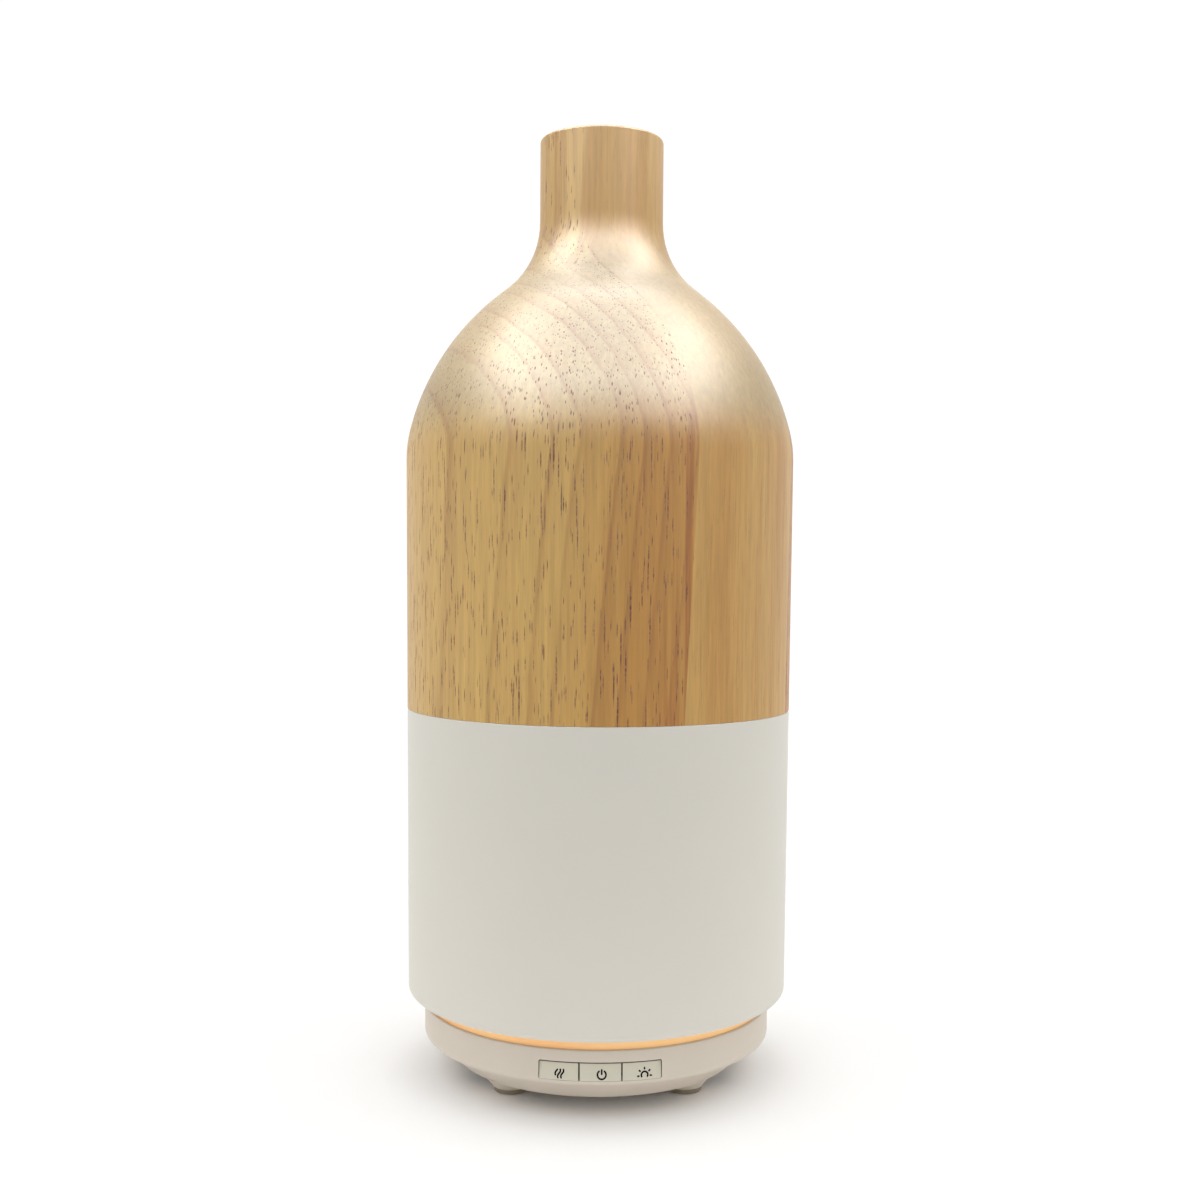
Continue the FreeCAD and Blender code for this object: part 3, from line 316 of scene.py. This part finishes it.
def painted_highlight_share(s, height):
    """How much of the painted highlight's paler colour the shoulder takes at each height."""
    rising = s.spread(height, PAINTED_HIGHLIGHT_FROM, PAINTED_HIGHLIGHT_FROM + PAINTED_HIGHLIGHT_BLEND)
    ending = s.spread(height, PAINTED_HIGHLIGHT_TO - PAINTED_HIGHLIGHT_BLEND, PAINTED_HIGHLIGHT_TO, PAINTED_HIGHLIGHT_SHARE, 0.0)
    return s.math("MULTIPLY", rising, ending)


def pores(s, spacing, length, radius, share):
    """Cut vessels: long thin ellipsoids along the grain, 1 inside and 0 outside. Sizes in mm."""
    smallest = 0.45
    soft_edge = 0.45
    place = s.position((1 / spacing, 1 / spacing, 2 * radius / (spacing * length)))
    cells = s.node("TexVoronoi", {"Vector": place, "Scale": 1.0, "Randomness": 1.0})
    chances = s.node("SeparateColor", {0: cells.outputs["Color"]})
    present = s.math("LESS_THAN", chances.outputs[0], share)
    size = s.math("MULTIPLY_ADD", chances.outputs[1], 1 - smallest, smallest)
    size = s.math("MULTIPLY", s.math("MULTIPLY", size, present), radius / spacing)
    edge = s.math("MAXIMUM", s.math("MULTIPLY", size, soft_edge), 0.001)
    inside = s.math("SUBTRACT", size, cells.outputs["Distance"])
    return s.math("DIVIDE", inside, edge, clamp=True)


def all_pores(s, place, flat_sawn):
    """Pores in looser and closer crowds, broken into beads, and few on the middle board."""
    fine = pores(s, spacing=0.5, length=4.5, radius=0.19, share=0.85)
    coarse = pores(s, spacing=0.8, length=12.0, radius=0.24, share=0.7)
    crowd = s.spread(grain_noise(s, 0.08, 0.12), 0.35, 0.65, 0.7, 1.0)
    beads = s.spread(s.noise(place, 1.4, 1.0), 0.3, 0.6, 0.45, 1.0)
    vessels = s.math("MULTIPLY", s.math("MAXIMUM", fine, coarse), s.math("MULTIPLY", crowd, beads))
    return s.math("MULTIPLY", vessels, s.math("MULTIPLY_ADD", flat_sawn, 1 - MIDDLE_PORES, MIDDLE_PORES))


def wood_material():
    """Turned light hardwood under satin lacquer: boards, growth rings, streaks, pores and a painted
    highlight on the shoulder.
    """
    s = Shader("lacquered_wood")
    place = s.position()
    height = s.height()
    across = board_distance(s, place)
    flat_sawn = outer_boards(s, across)
    rings = growth_rings(s, place, height, flat_sawn)
    vessels = all_pores(s, place, flat_sawn)
    fibre = grain_noise(s, 0.03, 1.1, 3.0, 0.65)
    fine = grain_noise(s, 0.04, 3.2, 2.0, 0.6)

    colour = board_colour(s, across, height, flat_sawn)
    # painted highlight: the shoulder's colour is made paler between set heights
    colour = s.mix(painted_highlight_share(s, height), colour, WOOD_PAINTED_HIGHLIGHT)
    colour = s.mix(s.math("MULTIPLY", rings, RING_SHADE), colour, WOOD_LATE)
    shade = s.math("MULTIPLY", s.vary(fibre, FIBRE_CONTRAST), s.vary(fine, FINE_CONTRAST))
    grey = s.node("CombineColor", {0: shade, 1: shade, 2: shade}).outputs[0]
    colour = s.mix(1.0, colour, grey, "MULTIPLY")
    colour = s.mix(vessels, colour, WOOD_PORE)

    roughness = s.math("MULTIPLY_ADD", vessels, PORE_ROUGHNESS, LACQUER_ROUGHNESS)
    s.set(Base_Color=colour, Roughness=roughness, IOR=1.45)
    s.set(Coat_Weight=0.15, Coat_Roughness=0.4, Coat_IOR=1.5)
    relief = s.math("MULTIPLY_ADD", fibre, 0.12, s.math("MULTIPLY", vessels, -1.0))
    s.bump(relief, 0.05, 0.5)
    return s.material


def mould_texture(s, roughness):
    """Uneven gloss and a fine spark-eroded texture."""
    grain = s.noise(s.position(), 1 / MOULD_TEXTURE, 3.0, 0.6)
    s.set(Roughness=s.spread(grain, 0.2, 0.8, roughness - GLOSS_SWING, roughness + GLOSS_SWING))
    s.bump(grain, MOULD_DEPTH)


def plastic(name, colour, roughness=0.5, tint=0.03, **sockets):
    """Moulded plastic, whose colour drifts down by up to twice the tint."""
    s = Shader(name)
    drift = s.noise(s.position(), DRIFT_SCALE)
    darker = tuple(c * (1 - 2 * tint) for c in colour)
    s.set(Base_Color=s.mix(s.spread(drift, 0.3, 0.7), darker, colour), **sockets)
    mould_texture(s, roughness)
    return s.material


def button_plastic():
    """Cream plastic, with a painted shadow along the upper edge, where the window's edge shades it."""
    s = Shader("button_plastic")
    darker = tuple(c * 0.98 for c in BUTTON_CREAM)
    cream = s.mix(s.noise(s.position(), DRIFT_SCALE), darker, BUTTON_CREAM)
    # painted shadow: the top edge of each button is darkened where the window's edge shades it
    line = s.spread(s.height(), *BUTTON_SHADOW_LINE)
    s.set(Base_Color=s.mix(line, cream, BUTTON_PAINTED_SHADOW))
    mould_texture(s, 0.5)
    return s.material


def glowing_ring():
    """Milky ring lit from behind by a row of lamps."""
    s = Shader("glowing_ring")
    place = s.position()
    parts = s.node("SeparateXYZ", {0: place})
    angle = s.math("ARCTAN2", parts.outputs[1], parts.outputs[0])
    lamps = s.math("COSINE", s.math("MULTIPLY", angle, LAMP_COUNT))
    drift = s.noise(place, 0.03, 1.0)
    level = s.math("ADD", s.math("MULTIPLY", lamps, LAMP_RIPPLE), s.spread(drift, 0.3, 0.7))
    s.set(Emission_Color=s.mix(level, GLOW_DEEP, GLOW_PALE), Emission_Strength=GLOW_STRENGTH)
    s.set(Base_Color=linear(226, 190, 140), Roughness=0.45)
    s.bump(s.noise(place, 4.0), 0.004)
    return s.material


def metal(name, colour, roughness):
    """Worked metal with fine upright marks."""
    s = Shader(name)
    marks = s.noise(s.position((1, 1, 0.1)), 6.0, 3.0, 0.7)
    darker = tuple(c * 0.82 for c in colour)
    swing = 0.08
    s.set(Base_Color=s.mix(marks, darker, colour), Metallic=1.0)
    s.set(Roughness=s.spread(marks, 0.2, 0.8, roughness - swing, roughness + swing))
    s.bump(marks, 0.01)
    return s.material


def circuit_board():
    """Green solder mask with copper tracks showing through as paler green."""
    s = Shader("circuit_board")
    place = s.position()
    tracks = s.node("TexBrick", {"Vector": place, "Scale": 0.5, "Mortar Size": 0.06}).outputs["Fac"]
    patches = s.spread(s.noise(place, 0.12, 1.0), 0.48, 0.52)
    copper = s.math("MULTIPLY", tracks, patches)
    s.set(Base_Color=s.mix(copper, linear(18, 84, 48), linear(48, 128, 78)), Roughness=0.3, Coat_Weight=0.4)
    s.bump(copper, 0.03)
    return s.material


def winding():
    """Enamelled copper wire in close turns."""
    s = Shader("copper_winding")
    wave = s.node("TexWave", {"Vector": s.position(), "Scale": 1.2, "Distortion": 0.4}, bands_direction="Z")
    turns = wave.outputs["Fac"]
    s.set(Base_Color=s.mix(turns, linear(120, 58, 28), linear(196, 112, 62)), Metallic=0.85, Roughness=0.32)
    s.bump(turns, 0.12)
    return s.material


def lamp_resin():
    s = Shader("lamp_resin")
    drift = s.noise(s.position(), 0.8, 1.0)
    s.set(Base_Color=s.mix(drift, linear(246, 224, 170), linear(252, 238, 200)), Roughness=0.12)
    s.set(Emission_Color=linear(255, 190, 110), Emission_Strength=1.2)
    return s.material


def printed_ink():
    s = Shader("printed_ink")
    grain = s.noise(s.position(), 9.0, 2.0)
    s.set(Base_Color=s.mix(grain, linear(14, 8, 8), linear(24, 16, 14)))
    s.set(Roughness=0.9, Specular_IOR_Level=0.2)
    return s.material


def floor_material():
    """White paper that fades into the white surroundings away from the object."""
    s = Shader("pale_floor")
    place = s.position()
    drift = s.noise(place, 0.01, 2.0)
    s.set(Base_Color=s.mix(drift, FLOOR_DARK, FLOOR_LIGHT), Roughness=0.8)
    reach = s.node("VectorMath", {0: place}, operation="LENGTH").outputs["Value"]
    s.set(Alpha=s.spread(reach, FLOOR_SOLID, FLOOR_CLEAR, 1.0, 0.0))
    return s.material


def smooth_seams():
    """Evens out the shading where two faces of a turned outline meet smoothly."""
    for name in ("wood_shell", "cover_sleeve", "base_shell", "base_plate"):
        piece = nodes[name]
        piece.modifiers.new("weld", "WELD").merge_threshold = WELD_DISTANCE
        piece.modifiers.new("sharp", "EDGE_SPLIT").split_angle = math.radians(SHARP_ANGLE)
        piece.modifiers.new("normals", "WEIGHTED_NORMAL").mode = "CORNER_ANGLE"


def assign_materials():
    """One material for each of the record's slots, on every node of that slot."""
    slots = {
        "wood": wood_material(),
        "sleeve_plastic": plastic("sleeve_plastic", linear(221, 217, 206), 0.55, tint=0.006),
        "base_plastic": plastic("base_plastic", linear(215, 204, 189), 0.5, tint=0.01),
        "button_plastic": button_plastic(),
        "light_ring": glowing_ring(),
        "foot_silicone": plastic("foot_silicone", linear(150, 138, 114), 0.35, Subsurface_Weight=0.4,
                                 Subsurface_Scale=0.003),
        "seal_silicone": plastic("seal_silicone", linear(214, 214, 208), 0.45, Subsurface_Weight=0.3,
                                 Subsurface_Scale=0.002),
        "tank_plastic": plastic("tank_plastic", linear(228, 228, 222), 0.38, Subsurface_Weight=0.25,
                                Subsurface_Scale=0.004),
        "hood_plastic": plastic("hood_plastic", linear(232, 233, 230), 0.34, Transmission_Weight=0.35,
                                Subsurface_Weight=0.3, Subsurface_Scale=0.004),
        "liner_plastic": plastic("liner_plastic", linear(218, 212, 198), 0.42),
        "steel": metal("zinc_steel", (0.62, 0.62, 0.63), 0.3),
        "ceramic": plastic("piezo_disc", linear(206, 200, 184), 0.2, Coat_Weight=0.6),
        "circuit_board": circuit_board(),
        "lamp": lamp_resin(),
        "black_plastic": plastic("black_plastic", linear(30, 30, 32), 0.42),
        "copper": winding(),
        "aluminium": metal("aluminium", (0.78, 0.79, 0.80), 0.34),
        "red_wire": plastic("wire_insulation", linear(160, 34, 28), 0.4),
    }
    for part in frame["record"]["subparts"]:
        mesh = nodes[part["node"]].data
        mesh.materials.clear()
        mesh.materials.append(slots[part["material_slot"]])


# Icons

def arc_path(radius, first, last, centre=(0.0, 0.0), steps=28):
    """Points on a circle between two angles in degrees."""
    points = []
    for index in range(steps + 1):
        angle = math.radians(first + (last - first) * index / steps)
        points.append((centre[0] + radius * math.cos(angle), centre[1] + radius * math.sin(angle)))
    return points


def wisp_path(offset, low, high, steps=18):
    """One leaning S-shaped wisp of mist."""
    points = []
    for index in range(steps + 1):
        height = low + (high - low) * index / steps
        swing = WISP_SWAY * math.sin(2 * math.pi * (height - low) / WISP_WAVE)
        points.append((offset + WISP_LEAN * height - swing, height))
    return points


def ray_path(angle, reaches):
    """Straight stroke away from the centre."""
    direction = (math.cos(math.radians(angle)), math.sin(math.radians(angle)))
    return [(direction[0] * reach, direction[1] * reach) for reach in reaches]


def heading(path, index):
    """Direction of a path at one of its points, in radians."""
    before = path[max(index - 1, 0)]
    after = path[min(index + 1, len(path) - 1)]
    return math.atan2(after[1] - before[1], after[0] - before[0])


def round_end(centre, direction, radius):
    """Points of a half circle that faces this way, without its two ends."""
    first = math.degrees(direction) + 90
    return arc_path(radius, first, first - 180, centre, CAP_STEPS)[1:-1]


def stroke_outline(path, width):
    """Closed outline of a stroke with round ends."""
    half = width / 2
    left = []
    right = []
    for index, (u, v) in enumerate(path):
        along = heading(path, index)
        side = (-math.sin(along) * half, math.cos(along) * half)
        left.append((u + side[0], v + side[1]))
        right.append((u - side[0], v - side[1]))
    far_end = round_end(path[-1], heading(path, len(path) - 1), half)
    near_end = round_end(path[0], heading(path, 0) + math.pi, half)
    return left + far_end + right[::-1] + near_end


def face_radius(z):
    """Radius of the sloping button face at a height, all in millimetres."""
    low_z, low_r = FACE_LOW
    high_z, high_r = FACE_HIGH
    return low_r + (high_r - low_r) * (z - low_z) / (high_z - low_z)


def on_face(x, z, lift):
    """Point in front of the button face, at x and z, this far out, all in millimetres."""
    radius = face_radius(z) + lift
    return Vector((x, -math.sqrt(radius ** 2 - x ** 2), z)) * MM


def make_icon(name, centre_x, paths, body, material):
    """Thin printed strokes that follow the button's face."""
    mesh_data = bmesh.new()
    for path in paths:
        outline = stroke_outline(path, ICON_STROKE)
        rows = []
        for lift in (-ICON_LIFT, ICON_LIFT):
            row = [on_face(centre_x + u, ICON_Z + v, lift) for u, v in outline]
            rows.append([mesh_data.verts.new(point) for point in row])
        mesh_data.faces.new(rows[1])
        mesh_data.faces.new(rows[0][::-1])
        count = len(outline)
        for index in range(count):
            after = (index + 1) % count
            mesh_data.faces.new((rows[0][index], rows[0][after], rows[1][after], rows[1][index]))
    bmesh.ops.triangulate(mesh_data, faces=mesh_data.faces[:])
    bmesh.ops.recalc_face_normals(mesh_data, faces=mesh_data.faces[:])
    mesh = bpy.data.meshes.new(name)
    mesh_data.to_mesh(mesh)
    mesh_data.free()
    mesh.materials.append(material)
    icon = bpy.data.objects.new(name, mesh)
    bpy.context.scene.collection.objects.link(icon)
    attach(icon, body)


def mist_paths():
    """A short wisp and two taller ones."""
    return [wisp_path(-MIST_SPACING, *SHORT_WISP), wisp_path(0.0, -WISP_HALF, WISP_HALF),
            wisp_path(MIST_SPACING, -WISP_HALF, WISP_HALF)]


def power_paths():
    """A ring, open at the top, with an upright bar."""
    ring = arc_path(POWER_RADIUS, 90 + POWER_OPENING, 450 - POWER_OPENING)
    return [ring, [(0.0, height) for height in POWER_BAR]]


def light_paths():
    """A lamp that shines upwards."""
    paths = [arc_path(LIGHT_RADIUS, -LIGHT_DIP, 180 + LIGHT_DIP)]
    paths += [ray_path(angle, RAY_ENDS) for angle in RAY_ANGLES]
    return [[(u, v - LIGHT_DROP) for u, v in path] for path in paths]


def make_icons():
    ink = printed_ink()
    make_icon("mist_icon", MIST_X, mist_paths(), "mist_button", ink)
    make_icon("power_icon", POWER_X, power_paths(), "power_button", ink)
    make_icon("light_icon", LIGHT_X, light_paths(), "light_button", ink)


# Stage

def add_floor():
    half = FLOOR_CLEAR * MM
    mesh = bpy.data.meshes.new("floor")
    corners = [(-half, -half, 0), (half, -half, 0), (half, half, 0), (-half, half, 0)]
    mesh.from_pydata(corners, [], [(0, 1, 2, 3)])
    mesh.materials.append(floor_material())
    floor = bpy.data.objects.new("floor", mesh)
    bpy.context.scene.collection.objects.link(floor)


def add_area_light(name, size, power, diffuse=True, glossy=True):
    """Light above the object that adds only the kinds of reflection asked for."""
    light = bpy.data.lights.new(name, "AREA")
    light.shape = "RECTANGLE"
    light.size = size[0]
    light.size_y = size[1]
    light.energy = power
    lamp = bpy.data.objects.new(name, light)
    lamp.location = LIGHT_PLACE
    lamp.rotation_euler = (Vector(LIGHT_AIM) - Vector(LIGHT_PLACE)).to_track_quat("-Z", "Y").to_euler()
    lamp.visible_diffuse = diffuse
    lamp.visible_glossy = glossy
    bpy.context.scene.collection.objects.link(lamp)


def add_world():
    """Even white surroundings, dimmer on the camera's side."""
    world = bpy.data.worlds.new("white_studio")
    world.use_nodes = True
    tree = world.node_tree
    direction = tree.nodes.new("ShaderNodeTexCoord").outputs["Generated"]
    parts = tree.nodes.new("ShaderNodeSeparateXYZ")
    tree.links.new(direction, parts.inputs[0])
    level = tree.nodes.new("ShaderNodeMapRange")
    level.interpolation_type = "SMOOTHSTEP"
    tree.links.new(parts.outputs[1], level.inputs[0])
    for index, value in enumerate((*WORLD_CHANGE, WORLD_FRONT, WORLD_REAR), start=1):
        level.inputs[index].default_value = value
    tree.links.new(level.outputs[0], tree.nodes["Background"].inputs["Strength"])
    tree.nodes["Background"].inputs["Color"].default_value = (1.0, 1.0, 1.0, 1.0)
    bpy.context.scene.world = world


def add_lights():
    add_world()
    add_area_light("overhead_softbox", SOFTBOX_SIZE, SOFTBOX_POWER, glossy=False)
    add_area_light("shoulder_highlight", HIGHLIGHT_SIZE, HIGHLIGHT_POWER, diffuse=False)


def add_camera():
    camera = bpy.data.objects.new("camera", bpy.data.cameras.new("camera"))
    camera.data.lens = LENS
    camera.data.sensor_width = SENSOR
    camera.data.clip_start = CAMERA_NEAREST
    turn = Matrix.Rotation(math.radians(CAMERA_AZIMUTH), 4, "Z")
    place = turn @ Vector((CAMERA_SIDE, -CAMERA_DISTANCE, CAMERA_HEIGHT))
    tilt = Matrix.Rotation(math.radians(90 + CAMERA_PITCH), 4, "X")
    roll = Matrix.Rotation(math.radians(CAMERA_ROLL), 4, "Z")
    camera.matrix_world = Matrix.Translation(place) @ turn @ tilt @ roll
    bpy.context.scene.collection.objects.link(camera)
    bpy.context.scene.camera = camera


assign_materials()
smooth_seams()
make_icons()
add_floor()
add_lights()
add_camera()
bpy.context.scene.view_settings.view_transform = "Standard"
